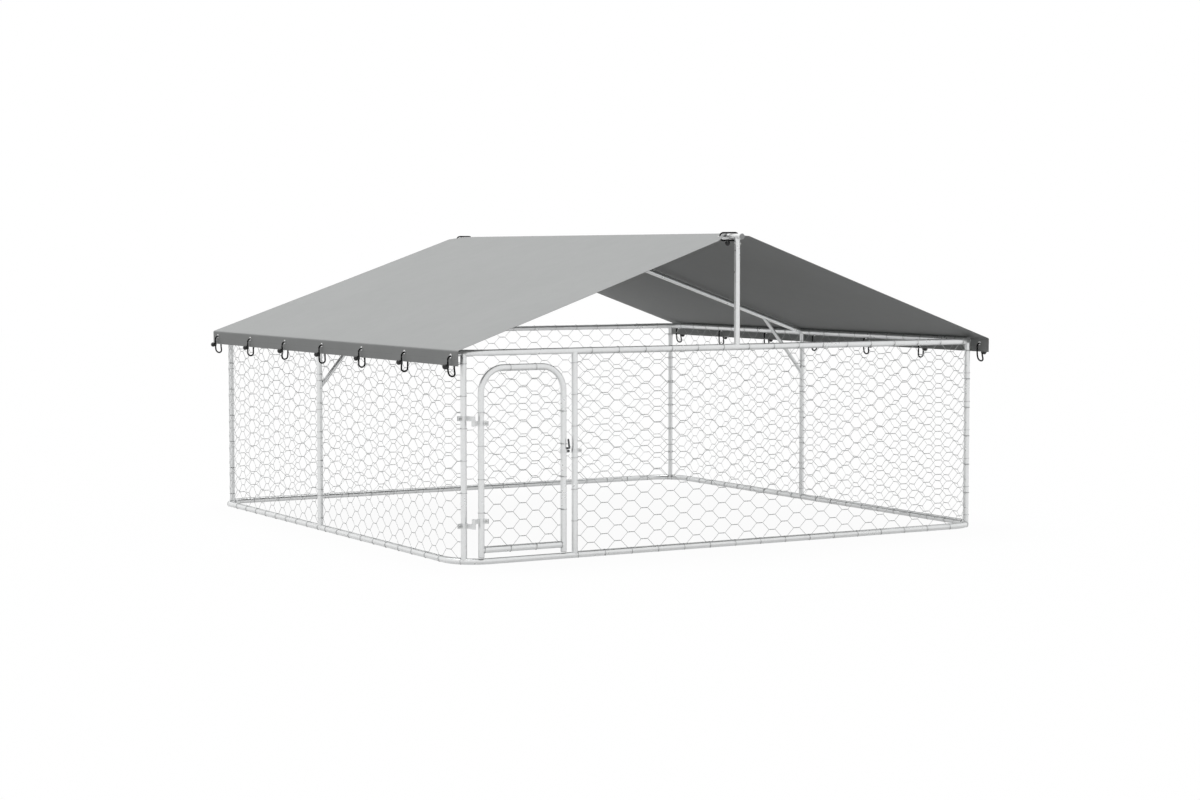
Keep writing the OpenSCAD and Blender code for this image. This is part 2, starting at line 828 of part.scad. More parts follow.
// One tine from the fork's bridge to its round tip
module fork_tine() {
  tip_z = fork_len - fork_tine_w / 2;
  root_z = fork_bridge - fork_t / 2;
  translate([-fork_tine_w / 2, -fork_tine_t / 2, root_z]) cube([fork_tine_w, fork_tine_t, tip_z - root_z]);
  translate([0, 0, tip_z]) rotate([90, 0, 0]) cylinder(d = fork_tine_w, h = fork_tine_t, center = true);
}

// Fork that stands open, and drops over the door post's band
module latch_fork() {
  color(dark) translate([latch_x, -hd, latch_h]) rotate([0, -fork_lean, 0]) difference() {
    union() {
      rotate([90, 0, 0]) cylinder(d = fork_stem_w, h = fork_t, center = true);
      translate([-fork_stem_w / 2, -fork_t / 2, 0]) cube([fork_stem_w, fork_t, fork_bridge]);
      translate([-fork_tine_w / 2, -fork_half, fork_bridge - fork_t / 2])
        cube([fork_tine_w, 2 * fork_half, fork_t]);
      for (sy = [-1, 1]) {
        translate([0, sy * (fork_inner + fork_tine_t / 2), 0]) fork_tine();
      }
    }
    rotate([90, 0, 0]) cylinder(d = bolt_d + 2 * run_fit, h = 2 * fork_t, center = true);
  }
}

rail_corner(-1, -1, rail_low);  // bottom_corner_front_left
rail_corner(1, -1, rail_low);  // bottom_corner_front_right
rail_corner(-1, 1, rail_low);  // bottom_corner_back_left
rail_corner(1, 1, rail_low);  // bottom_corner_back_right
rail_across(-1, rail_low);  // bottom_rail_front
rail_across(1, rail_low);  // bottom_rail_back
rail_deep(-1, rail_low);  // bottom_rail_left
rail_deep(1, rail_low);  // bottom_rail_right
rail_corner(-1, -1, wall_h);  // top_corner_front_left
rail_corner(1, -1, wall_h);  // top_corner_front_right
rail_corner(-1, 1, wall_h);  // top_corner_back_left
rail_corner(1, 1, wall_h);  // top_corner_back_right
rail_across(-1, wall_h);  // top_rail_front
rail_across(1, wall_h);  // top_rail_back
rail_deep(-1, wall_h);  // top_rail_left
rail_deep(1, wall_h);  // top_rail_right
rail_sleeves();
corner_post(-1, -1);  // post_front_left
corner_post(1, -1);  // post_front_right
corner_post(-1, 1);  // post_back_left
corner_post(1, 1);  // post_back_right
mid_post(-1);  // post_mid_left
mid_post(1);  // post_mid_right
door_post();
king_post(-1);  // king_post_front
king_post(1);  // king_post_back
king_post_bolts();
ridge_tube();
ridge_caps();
rafter(-1);  // rafter_left
rafter(1);  // rafter_right
brace(-1);  // brace_left
brace(1);  // brace_right
net_front();
net_back();
net_side_front(-1);  // net_left_front
net_side_back(-1);  // net_left_back
net_side_front(1);  // net_right_front
net_side_back(1);  // net_right_back
canopy();
eyelets();
bungee_loops();
bungee_balls();
hinge_pintle(hinge_low_h, 1);  // hinge_pintle_lower
hinge_pintle(hinge_top_h, -1);  // hinge_pintle_upper
latch_keeper();
post_clamp_bolts();
door_frame();
door_bottom_bar();
door_feet();
door_net();
hinge_eye(hinge_low_h, 1);  // hinge_eye_lower
hinge_eye(hinge_top_h, -1);  // hinge_eye_upper
door_clamp_bolts();
latch_clamp();
latch_pivot();
latch_fork();
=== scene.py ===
import json
import math

import bpy
from mathutils import Matrix, Vector


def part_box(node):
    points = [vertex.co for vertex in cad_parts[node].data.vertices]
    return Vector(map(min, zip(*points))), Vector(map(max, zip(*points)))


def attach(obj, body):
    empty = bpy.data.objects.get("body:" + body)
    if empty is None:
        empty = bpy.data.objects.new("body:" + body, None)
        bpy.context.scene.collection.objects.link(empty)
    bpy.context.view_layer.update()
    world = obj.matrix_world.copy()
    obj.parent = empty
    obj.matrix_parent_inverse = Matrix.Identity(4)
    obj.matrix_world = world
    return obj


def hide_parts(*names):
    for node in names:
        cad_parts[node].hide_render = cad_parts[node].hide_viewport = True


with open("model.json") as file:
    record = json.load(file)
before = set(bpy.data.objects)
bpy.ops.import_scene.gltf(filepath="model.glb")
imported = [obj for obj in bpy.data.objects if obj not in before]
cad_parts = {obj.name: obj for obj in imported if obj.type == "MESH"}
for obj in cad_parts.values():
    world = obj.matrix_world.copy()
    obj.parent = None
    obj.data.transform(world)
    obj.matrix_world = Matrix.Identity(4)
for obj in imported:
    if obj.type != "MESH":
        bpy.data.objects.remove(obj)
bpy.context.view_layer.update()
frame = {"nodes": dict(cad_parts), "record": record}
nodes = frame["nodes"]
print("frame loaded:", len(nodes), "nodes")


def middle(node):
    low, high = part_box(node)
    return (low + high) / 2


# the frame's own lines, which every other piece hangs on
railLow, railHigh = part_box("top_rail_front")
tubeR = (railHigh.z - railLow.z) / 2
railX = middle("top_rail_right").x
railY = middle("top_rail_back").y
topZ = middle("top_rail_front").z
bottomZ = middle("bottom_rail_front").z
postIn = railX - middle("post_front_right").x
bendR = postIn / (1 - math.cos(math.pi / 4))  # the corner posts stand halfway round the bends
bendX = railX - bendR
bendY = railY - bendR
midPostY = middle("post_mid_left").y
doorPostX = middle("door_post").x


def onlySelect(*pieces):
    bpy.ops.object.select_all(action="DESELECT")
    for piece in pieces:
        piece.select_set(True)
    bpy.context.view_layer.objects.active = pieces[0]


def applyModifiers(piece):
    onlySelect(piece)
    for modifier in list(piece.modifiers):
        bpy.ops.object.modifier_apply(modifier=modifier.name)


def joinAs(name, pieces):
    onlySelect(*pieces)
    bpy.ops.object.join()
    piece = bpy.context.object
    piece.name = name
    piece.data.name = name
    return piece


def throwAway(piece):
    onlySelect(piece)
    bpy.ops.object.delete()


def wearFinish(piece, finish):
    piece.data.materials.clear()
    piece.data.materials.append(finish)


# shader maths: a Value is a socket that takes + - * < > like a number
class Value:
    def __init__(self, shading, socket):
        self.shading = shading
        self.socket = socket

    def maths(self, operation, first, second=0.0):
        return self.shading.node("Math", {"operation": operation}, {0: first, 1: second})

    def __add__(self, other):
        return self.maths("ADD", self, other)

    def __radd__(self, other):
        return self.maths("ADD", other, self)

    def __sub__(self, other):
        return self.maths("SUBTRACT", self, other)

    def __rsub__(self, other):
        return self.maths("SUBTRACT", other, self)

    def __mul__(self, other):
        return self.maths("MULTIPLY", self, other)

    def __rmul__(self, other):
        return self.maths("MULTIPLY", other, self)

    def __lt__(self, other):
        return self.maths("LESS_THAN", self, other)

    def __gt__(self, other):
        return self.maths("GREATER_THAN", self, other)

    def sine(self):
        return self.maths("SINE", self)

    def size(self):
        return self.maths("ABSOLUTE", self)


# a tree of shader nodes, of a material or of the world
class Shading:
    def __init__(self, tree):
        self.tree = tree

    def feed(self, socket, value):
        if isinstance(value, Value):
            self.tree.links.new(value.socket, socket)
        else:
            socket.default_value = value

    def node(self, kind, settings=None, sockets=None, out=0):
        new = self.tree.nodes.new("ShaderNode" + kind)
        for key, value in (settings or {}).items():
            if key == "stops":
                for stop, (place, colour) in zip(new.color_ramp.elements, value):
                    stop.position = place
                    stop.color = colour
            else:
                setattr(new, key, value)
        for key, value in (sockets or {}).items():
            self.feed(new.inputs[key], value)
        return Value(self, new.outputs[out])

    def ray(self, kind):
        return self.node("LightPath", out=f"Is {kind} Ray")


class Paint(Shading):
    def __init__(self, name, **shader):
        self.material = bpy.data.materials.new(name)
        self.material.use_nodes = True
        super().__init__(self.material.node_tree)
        self.shader = self.tree.nodes["Principled BSDF"]
        for socket, value in shader.items():
            self.feed(self.shader.inputs[socket.replace("_", " ")], value)

    def place(self):
        return self.node("TexCoord", out="Object")

    def part(self, vector, axis):
        return self.node("SeparateXYZ", None, {0: vector}, axis)

    def flat(self, uvMap):
        both = self.node("UVMap", {"uv_map": uvMap})
        return self.part(both, "X"), self.part(both, "Y")

    def noise(self, scale, detail=2.0):
        return self.node("TexNoise", None, {"Vector": self.place(), "Scale": scale, "Detail": detail})

    def colours(self, dark, light, share):
        return self.node("ValToRGB", {"stops": ((0.0, (*dark, 1)), (1.0, (*light, 1)))}, {0: share})

    def wear(self, colour, roughness=None, bump=None, strength=None, depth=None):
        self.feed(self.shader.inputs["Base Color"], colour)
        if roughness is not None:
            self.feed(self.shader.inputs["Roughness"], roughness)
        if bump is not None:
            raised = {"Height": bump, "Strength": strength, "Distance": depth}
            self.feed(self.shader.inputs["Normal"], self.node("Bump", None, raised, "Normal"))
        return self.material


# hot-dip zinc: pale crystals, a few duller clouds and a fine grain
zincLook = {"metal": 0.72, "cloudScale": 9.0, "cloudDetail": 4.0, "grainScale": 900.0,
            "crystalTone": 0.35, "cloudTone": 0.5, "grainTone": 0.15, "crystalRough": 0.06,
            "cloudRough": 0.18, "grainBump": 0.6, "cloudBump": 0.4, "strength": 0.06, "depth": 0.0004}


def galvanised(name, dark, light, roughness, crystalScale):
    look = zincLook
    paint = Paint(name, Metallic=look["metal"])
    cells = paint.node("TexVoronoi", {"feature": "F1"},
                       {"Vector": paint.place(), "Scale": crystalScale}, "Color")
    crystals = paint.node("SeparateColor", None, {0: cells}, "Red")
    clouds = paint.noise(look["cloudScale"], look["cloudDetail"])
    grain = paint.noise(look["grainScale"])
    tone = crystals * look["crystalTone"] + clouds * look["cloudTone"] + grain * look["grainTone"]
    return paint.wear(
        colour=paint.colours(dark, light, tone),
        roughness=roughness + (clouds - 0.5) * look["cloudRough"] + (crystals - 0.5) * look["crystalRough"],
        bump=grain * look["grainBump"] + clouds * look["cloudBump"],
        strength=look["strength"], depth=look["depth"])


boltLook = {"metal": 0.9, "smudgeScale": 160.0, "smudgeDetail": 3.0, "grainScale": 1200.0,
            "dark": (0.40, 0.41, 0.42), "light": (0.66, 0.66, 0.64), "rough": 0.28, "smudgeRough": 0.2,
            "strength": 0.1, "depth": 0.0003}


def zincBolt():
    look = boltLook
    paint = Paint("zincBolt", Metallic=look["metal"])
    smudge = paint.noise(look["smudgeScale"], look["smudgeDetail"])
    return paint.wear(
        colour=paint.colours(look["dark"], look["light"], smudge),
        roughness=look["rough"] + smudge * look["smudgeRough"],
        bump=paint.noise(look["grainScale"]), strength=look["strength"], depth=look["depth"])


eyeletLook = {"metal": 1.0, "rubScale": 240.0, "rubDetail": 3.0, "dark": (0.80, 0.81, 0.81),
              "light": (0.97, 0.97, 0.96), "rough": 0.22, "rubRough": 0.16, "strength": 0.06, "depth": 0.0003}


def brightEyelet():
    look = eyeletLook
    paint = Paint("brightEyelet", Metallic=look["metal"])
    rub = paint.noise(look["rubScale"], look["rubDetail"])
    return paint.wear(
        colour=paint.colours(look["dark"], look["light"], rub),
        roughness=look["rough"] + rub * look["rubRough"],
        bump=rub, strength=look["strength"], depth=look["depth"])


plasticLook = {"cloudScale": 45.0, "cloudDetail": 3.0, "pebbleScale": 1500.0, "pebbleRough": 0.2,
               "strength": 0.15, "depth": 0.0003}


def mouldedPlastic(name, dark, light, roughness):
    look = plasticLook
    paint = Paint(name)
    pebble = paint.noise(look["pebbleScale"])
    return paint.wear(
        colour=paint.colours(dark, light, paint.noise(look["cloudScale"], look["cloudDetail"])),
        roughness=roughness + (pebble - 0.5) * look["pebbleRough"],
        bump=pebble, strength=look["strength"], depth=look["depth"])


cordLook = {"gloss": 0.12, "braid": 3600.0, "dark": (0.004, 0.004, 0.004), "light": (0.018, 0.018, 0.019),
            "rough": 0.70, "braidRough": 0.15, "strength": 0.4, "depth": 0.0006}


def elasticBraid():
    look = cordLook
    paint = Paint("elasticBraid", Specular_IOR_Level=look["gloss"])
    where = paint.place()
    along = paint.part(where, "Z")
    across = paint.part(where, "Y")
    left = ((along + across) * look["braid"]).sine()
    right = ((along - across) * look["braid"]).sine()
    braid = left * right * 0.5 + 0.5
    return paint.wear(
        colour=paint.colours(look["dark"], look["light"], braid),
        roughness=look["rough"] + braid * look["braidRough"],
        bump=braid, strength=look["strength"], depth=look["depth"])


# coated sheet: a plain weave of flat tapes under a thin coat, with a stitched hem all round
sheetLook = {"tape": 0.0023, "hem": 0.030, "stitch": 0.0045, "stitchW": 0.0011, "stitchGap": -0.3,
             "coat": 0.04, "coatRough": 0.5, "gloss": 0.35,
             "cloudScale": 1.7, "cloudDetail": 3.0, "chalkScale": 14.0, "chalkDetail": 5.0,
             "dark": (0.335, 0.343, 0.341), "light": (0.425, 0.434, 0.431), "thread": (0.16, 0.165, 0.165),
             "weaveTone": 0.12, "tapeTone": 0.13, "cloudTone": 0.4, "chalkTone": 0.35, "threadTone": 0.55,
             "rough": 0.66, "tapeRough": 0.12, "weaveBump": 0.6, "tapeBump": 0.4, "threadBump": 0.8,
             "strength": 0.22, "depth": 0.0006}


def wovenSheet():
    look = sheetLook
    paint = Paint("wovenSheet", Coat_Weight=look["coat"], Coat_Roughness=look["coatRough"],
                  Specular_IOR_Level=look["gloss"])
    across, along = paint.flat("sheet")
    sideEdge, endEdge = paint.flat("edges")
    turns = math.pi / look["tape"]
    warp = (across * turns).sine()
    weft = (along * turns).sine()
    weave = warp * weft * 0.5 + 0.5
    tapes = warp.size() * 0.5 + weft.size() * 0.5
    clouds = paint.noise(look["cloudScale"], look["cloudDetail"])
    chalk = paint.noise(look["chalkScale"], look["chalkDetail"])
    half = look["stitchW"] / 2
    sideLine = (sideEdge - look["hem"]).size() < half
    endLine = (endEdge - look["hem"]).size() < half
    run = math.pi / look["stitch"]
    gap = look["stitchGap"]
    thread = sideLine * ((along * run).sine() > gap) + endLine * ((across * run).sine() > gap)
    tone = (weave * look["weaveTone"] + tapes * look["tapeTone"]
            + clouds * look["cloudTone"] + chalk * look["chalkTone"])
    cloth = paint.colours(look["dark"], look["light"], tone)
    sewn = paint.node("Mix", {"data_type": "RGBA"},
                      {0: thread * look["threadTone"], 6: cloth, 7: (*look["thread"], 1)}, 2)
    return paint.wear(
        colour=sewn, roughness=look["rough"] + (tapes - 0.5) * look["tapeRough"],
        bump=weave * look["weaveBump"] + tapes * look["tapeBump"] - thread * look["threadBump"],
        strength=look["strength"], depth=look["depth"])


tubeZinc = galvanised("tubeZinc", dark=(0.83, 0.84, 0.84), light=(0.96, 0.97, 0.97),
                      roughness=0.32, crystalScale=130.0)
wireZinc = galvanised("wireZinc", dark=(0.50, 0.51, 0.51), light=(0.74, 0.75, 0.75),
                      roughness=0.46, crystalScale=400.0)
strapZinc = galvanised("strapZinc", dark=(0.76, 0.77, 0.77), light=(0.92, 0.93, 0.93),
                       roughness=0.38, crystalScale=220.0)
latchZinc = galvanised("latchZinc", dark=(0.06, 0.062, 0.065), light=(0.14, 0.143, 0.147),
                       roughness=0.42, crystalScale=260.0)
sleeveZinc = galvanised("sleeveZinc", dark=(0.46, 0.47, 0.48), light=(0.62, 0.63, 0.64),
                        roughness=0.45, crystalScale=150.0)
boltZinc = zincBolt()
eyeletMetal = brightEyelet()
capPlastic = mouldedPlastic("capPlastic", dark=(0.52, 0.53, 0.53), light=(0.60, 0.61, 0.61), roughness=0.5)
ballPlastic = mouldedPlastic("ballPlastic", dark=(0.006, 0.006, 0.006), light=(0.013, 0.013, 0.014),
                             roughness=0.40)
cordBraid = elasticBraid()
sheetCloth = wovenSheet()

slotFinish = {
    "tube": tubeZinc, "net": wireZinc, "fitting": strapZinc, "sleeve": sleeveZinc, "bolt": boltZinc,
    "cap": capPlastic, "eyelet": eyeletMetal, "ball": ballPlastic, "cord": cordBraid, "canopy": sheetCloth}
for part in frame["record"]["subparts"]:
    wearFinish(nodes[part["node"]], slotFinish[part["material_slot"]])
for node in ("latch_fork", "latch_pivot"):  # darker than the other fittings
    wearFinish(nodes[node], latchZinc)


# one wire or cord as a round curve along a line of points
def tubeAlong(name, points, radius, sides, capped=True):
    bpy.ops.object.select_all(action="DESELECT")
    bpy.ops.curve.primitive_nurbs_path_add()
    line = bpy.context.object
    line.name = name
    line.data.splines.clear()
    spline = line.data.splines.new("POLY")
    spline.points.add(len(points) - 1)
    for spot, place in zip(spline.points, points):
        spot.co = (*place, 1)
    line.data.twist_mode = "Z_UP"
    line.data.bevel_depth = radius
    line.data.bevel_resolution = (sides - 4) // 2  # a bevel starts at four sides and grows by two
    line.data.use_fill_caps = capped
    return line


def tubeMesh(name, points, radius, sides, capped=True):
    line = tubeAlong(name, points, radius, sides, capped)
    onlySelect(line)
    bpy.ops.object.convert(target="MESH")
    return bpy.context.object


# a wall's line on the ground plan: straight stretches and parts of the corner bends
class WallLine:
    def __init__(self, *stretches):
        self.stretches = stretches
        self.length = sum(self.reach(s) for s in stretches)

    def reach(self, stretch):
        if stretch[0] == "bend":
            return bendR * math.radians(abs(stretch[4] - stretch[3]))
        return math.dist(stretch[1], stretch[2])

    # the point at a distance along the line, and the way the line runs there
    def at(self, distance):
        for stretch in self.stretches:
            reach = self.reach(stretch)
            if distance <= reach or stretch is self.stretches[-1]:
                break
            distance -= reach
        if stretch[0] == "bend":
            _, cx, cy, first, last = stretch
            turn = math.copysign(1, last - first)
            angle = math.radians(first) + turn * distance / bendR
            spot = (cx + bendR * math.cos(angle), cy + bendR * math.sin(angle))
            return spot, (-turn * math.sin(angle), turn * math.cos(angle))
        _, start, end = stretch
        way = ((end[0] - start[0]) / reach, (end[1] - start[1]) / reach)
        return (start[0] + way[0] * distance, start[1] + way[1] * distance), way

    def wrap(self, along, off, z):
        spot, way = self.at(along)
        return Vector((spot[0] - way[1] * off, spot[1] + way[0] * off, z))


# six-sided wire net: every wire weaves between two levels and twists with its neighbours
netCut = {"wire": 0.0024, "sides": 4, "column": 0.072, "halfRow": 0.0365, "twist": 0.52, "turns": 2,
          "steps": 10, "merge": 0.0008, "openSides": 8, "bite": 0.0008, "edge": 0.0015, "edgeStep": 0.03,
          "edgeLeast": 8, "tiePoints": 15, "tieTurns": 1.2, "tiePitch": 1.5, "tieRows": 4,
          "tieShift": 0.003, "tieClear": 0.02, "ground": 0.0001}


# one wire over two columns, starting in the middle of its lower twist
def strandPoints(column, rise):
    twist = netCut["twist"] * column
    lay = netCut["wire"] / 2
    steps = netCut["steps"]
    half = steps // 2
    twists = ((range(half + 1), 0.0, 0.0, 1),
              (range(steps + 1), column - twist / 2, rise, -1),
              (range(half, steps + 1), 2 * column - twist, 0.0, 1))
    points = []
    for drawn, start, level, side in twists:
        for k in drawn:
            share = k / steps
            angle = 2 * math.pi * netCut["turns"] * share
            off = side * lay * math.sin(angle)
            points.append((start + share * twist, off, level + side * lay * math.cos(angle)))
    return points


def repeatAlong(piece, count, step, merge):
    array = piece.modifiers.new("repeat", "ARRAY")
    array.use_relative_offset = False
    array.use_constant_offset = True
    array.constant_offset_displace = step
    array.count = count
    array.use_merge_vertices = merge
    array.merge_threshold = netCut["merge"]
    applyModifiers(piece)


# every wire of one kind: even ones start low, odd ones a level up and a column back
def strands(name, grid, count, shift, lift):
    points = strandPoints(grid["column"], grid["rise"])
    wire = tubeMesh(name, points, netCut["wire"] / 2, netCut["sides"], capped=False)
    wire.data.transform(Matrix.Translation((shift, 0, lift)))
    repeatAlong(wire, grid["columns"] // 2 + 2, (2 * grid["column"], 0, 0), True)
    repeatAlong(wire, count, (0, 0, 2 * grid["rise"]), False)
    return wire


def closeEnds():
    bpy.ops.mesh.select_all(action="SELECT")
    bpy.ops.mesh.fill_holes(sides=netCut["openSides"])


def trimEnds(piece, length):
    onlySelect(piece)
    bpy.ops.object.mode_set(mode="EDIT")
    for place, way in ((0.0, -1), (length, 1)):
        bpy.ops.mesh.select_all(action="SELECT")
        bpy.ops.mesh.bisect(plane_co=(place, 0, 0), plane_no=(way, 0, 0), clear_outer=True)
    closeEnds()
    bpy.ops.object.mode_set(mode="OBJECT")


# cuts the door's net off where it meets the bends of the arch
def trimToArch(net, arch):
    onlySelect(net)
    bpy.ops.object.mode_set(mode="EDIT")
    bpy.ops.mesh.select_mode(type="FACE")
    bpy.ops.mesh.select_all(action="DESELECT")
    bpy.ops.object.mode_set(mode="OBJECT")
    for face in net.data.polygons:
        out = abs(face.center.x - arch["x"]) - (arch["half"] - arch["r"])
        up = face.center.z - arch["z"]
        face.select = out > 0 and up > 0 and math.hypot(out, up) > arch["r"] - netCut["wire"]
    bpy.ops.object.mode_set(mode="EDIT")
    bpy.ops.mesh.delete(type="FACE")
    closeEnds()
    bpy.ops.object.mode_set(mode="OBJECT")


# a tie: a bit of wire wound round a tube, made once along +X and starting from +Z
def makeTie(radius):
    count = netCut["tiePoints"]
    turn = 2 * math.pi * netCut["tieTurns"]
    reach = (radius + netCut["wire"] / 2) / math.cos(turn / (count - 1) / 2)
    points = []
    for k in range(count):
        share = k / (count - 1)
        angle = math.pi / 2 + turn * share
        along = netCut["wire"] * netCut["tiePitch"] * (share - 0.5)
        points.append((along, reach * math.cos(angle), reach * math.sin(angle)))
    return tubeMesh("tie", points, netCut["wire"] / 2, netCut["sides"])


tieForm = makeTie(tubeR)


def tieAt(spot, axis, facing):
    tie = tieForm.copy()
    tie.data = tieForm.data.copy()
    bpy.context.scene.collection.objects.link(tie)
    axis = Vector(axis).normalized()
    facing = Vector(facing).normalized()
    side = facing.cross(axis)
    turned = Matrix((axis, side, facing)).transposed().to_4x4()
    tie.data.transform(Matrix.Translation(spot) @ turned)
    for corner in tie.data.vertices:
        corner.co.z = max(corner.co.z, netCut["ground"])
    return tie


# how many columns and half rows fill a panel, and how large they come out
def netGrid(line, lowZ, highZ):
    span = line.length - 2 * tubeR + 2 * netCut["bite"]
    columns = round(span / netCut["column"])
    halfRows = 2 * round(((highZ - lowZ) / netCut["halfRow"] - 1) / 2) + 1
    return {"first": tubeR - netCut["bite"], "span": span, "columns": columns, "column": span / columns,
            "halfRows": halfRows, "rise": (highZ - lowZ) / halfRows, "low": lowZ, "high": highZ}


# the net laid straight along +X, with its two edge wires
def straightNet(name, grid):
    upper = grid["halfRows"] // 2
    even = strands(name + "Even", grid, upper + 1, 0.0, grid["low"])
    odd = strands(name + "Odd", grid, upper, -grid["column"], grid["low"] + grid["rise"])
    net = joinAs(name, [even, odd])
    trimEnds(net, grid["span"])
    steps = max(netCut["edgeLeast"], round(grid["span"] / netCut["edgeStep"]))
    for z in (grid["low"], grid["high"]):
        points = [(grid["span"] * k / steps, 0, z) for k in range(steps + 1)]
        net = joinAs(name, [net, tubeMesh("edgeWire", points, netCut["wire"] / 2, netCut["sides"])])
    return net


# ties at every other column below and above, and up the posts at both ends
def netTies(line, grid, arch):
    ties = []
    for k in range(grid["columns"] + 1):
        spot, way = line.at(grid["first"] + k * grid["column"])
        tiedBelow = k % 2 == 0
        tiedAbove = not tiedBelow
        if arch:  # the door's net is tied above only between the bends of its arch
            tiedAbove = tiedBelow and abs(spot[0] - arch["x"]) < arch["half"] - arch["r"]
        if tiedBelow:
            ties.append(tieAt((*spot, grid["low"] - tubeR - netCut["edge"]), (*way, 0), (0, 0, 1)))
        if tiedAbove:
            ties.append(tieAt((*spot, grid["high"] + tubeR + netCut["edge"]), (*way, 0), (0, 0, -1)))
    top = arch["z"] if arch else grid["high"]
    ends = ((0.0, 1, 0, netCut["tieShift"]), (line.length, -1, grid["columns"] % 2, -netCut["tieShift"]))
    for place, ahead, start, shift in ends:
        spot, way = line.at(place)
        for k in range(start, grid["halfRows"] + 1, netCut["tieRows"]):
            z = grid["low"] + k * grid["rise"] + shift
            if grid["low"] + netCut["tieClear"] < z < top - netCut["tieClear"]:
                ties.append(tieAt((*spot, z), (0, 0, 1), (way[0] * ahead, way[1] * ahead, 0)))
    return ties


# a whole panel of net between two posts, with its edge wires and its ties
def netPanel(name, node, body, line, lowZ, highZ, arch=None):
    grid = netGrid(line, lowZ, highZ)
    net = straightNet(name, grid)
    for corner in net.data.vertices:
        corner.co = line.wrap(grid["first"] + corner.co.x, corner.co.y, corner.co.z)
    if arch:
        trimToArch(net, arch)
    ties = netTies(line, grid, arch)
    net = joinAs(name, [net] + ties)
    wearFinish(net, wireZinc)
    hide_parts(node)
    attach(net, body)
    print(name, grid["columns"], "columns,", len(ties), "ties,", len(net.data.polygons), "faces")


lowNet = bottomZ + tubeR + netCut["edge"]
highNet = topZ - tubeR - netCut["edge"]
walls = {
    "netLeftFront": ("net_left_front", WallLine(("bend", -bendX, -bendY, 225, 180),
                                                ("run", (-railX, -bendY), (-railX, midPostY)))),
    "netLeftBack": ("net_left_back", WallLine(("run", (-railX, midPostY), (-railX, bendY)),
                                              ("bend", -bendX, bendY, 180, 135))),
    "netBack": ("net_back", WallLine(("bend", -bendX, bendY, 135, 90),
                                     ("run", (-bendX, railY), (bendX, railY)),
                                     ("bend", bendX, bendY, 90, 45))),
    "netRightBack": ("net_right_back", WallLine(("bend", bendX, bendY, 45, 0),
                                                ("run", (railX, bendY), (railX, midPostY)))),
    "netRightFront": ("net_right_front", WallLine(("run", (railX, midPostY), (railX, -bendY)),
                                                  ("bend", bendX, -bendY, 0, -45))),
    "netFront": ("net_front", WallLine(("bend", bendX, -bendY, -45, -90),
                                       ("run", (bendX, -railY), (doorPostX, -railY))))}
for name, (node, line) in walls.items():
    netPanel(name, node, "run", line, lowNet, highNet)

# the door's own net, inside the tubes of its arch
doorCut = {"bendR": 0.115}
doorLow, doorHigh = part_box("door_frame")
doorArch = {"x": (doorLow.x + doorHigh.x) / 2, "half": (doorHigh.x - doorLow.x) / 2 - tubeR,
            "z": doorHigh.z - tubeR - doorCut["bendR"], "r": doorCut["bendR"]}
doorLine = WallLine(("run", (doorLow.x + tubeR, -railY), (doorHigh.x - tubeR, -railY)))
netPanel("netDoor", "door_net", "door", doorLine, middle("door_bottom_bar").z + tubeR + netCut["edge"],
         doorHigh.z - 2 * tubeR - netCut["edge"], doorArch)
throwAway(tieForm)


# the roof sheet: one cut over the ridge, folded down at the sides into a short hanging edge
canopyCut = {"thick": 0.0012, "plain": 0.65, "lift": 0.005, "ridgeIn": 0.081, "notchNear": 0.106,
             "notchFar": 0.040, "drawIn": 0.040, "ridgeR": 0.0154, "foldR": 0.008, "crease": 50,
             "sag": 0.004, "endSag": 0.3, "wave": 0.003, "steps": (4, 1, 4, 5, 44, 6, 14), "alongSteps": 200,
             "pitch": 0.485, "perSide": 7, "eyeletUp": 0.044, "ridgeX": 0.040, "ridgeEyeletIn": 0.0105,
             "punchR": 0.00615, "punchSides": 20, "punchDepth": 0.03}
canopyLow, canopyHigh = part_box("canopy")
slope = math.atan2(middle("ridge_tube").z - topZ - canopyCut["lift"], railX)
sheetHalf = canopyHigh.x - canopyCut["thick"] / 2
sheetApex = canopyHigh.z - canopyCut["thick"] / 2 / math.cos(slope)
sheetEave = sheetApex - sheetHalf * math.tan(slope)
ridgeTangent = canopyCut["ridgeR"] * math.tan(slope)
foldTurn = math.pi / 2 - slope
foldTangent = canopyCut["foldR"] * math.tan(foldTurn / 2)
ridgeArc = canopyCut["ridgeR"] * slope
foldArc = canopyCut["foldR"] * foldTurn
slopeRun = sheetHalf / math.cos(slope) - ridgeTangent - foldTangent
edgeRun = sheetEave - foldTangent - canopyLow.z
sheetReach = ridgeArc + slopeRun + foldArc + edgeRun
ridgeEnd = railY - canopyCut["ridgeIn"]
ridgeEyelet = Vector((canopyCut["ridgeX"], ridgeEnd - canopyCut["ridgeEyeletIn"], 0))


# the sheet's place, and the way it faces, at a distance from the ridge
def sheetSection(reach):
    if reach <= ridgeArc:
        turn = reach / canopyCut["ridgeR"]
        low = sheetApex - canopyCut["ridgeR"] / math.cos(slope)
        return (canopyCut["ridgeR"] * math.sin(turn), low + canopyCut["ridgeR"] * math.cos(turn)), turn
    reach -= ridgeArc
    if reach <= slopeRun:
        down = ridgeTangent + reach
        return (down * math.cos(slope), sheetApex - down * math.sin(slope)), slope
    reach -= slopeRun
    x = sheetHalf - canopyCut["foldR"]
    z = sheetEave - foldTangent
    if reach <= foldArc:
        turn = slope + reach / canopyCut["foldR"]
        return (x + canopyCut["foldR"] * math.sin(turn), z + canopyCut["foldR"] * math.cos(turn)), turn
    return (sheetHalf, z - (reach - foldArc)), math.pi / 2


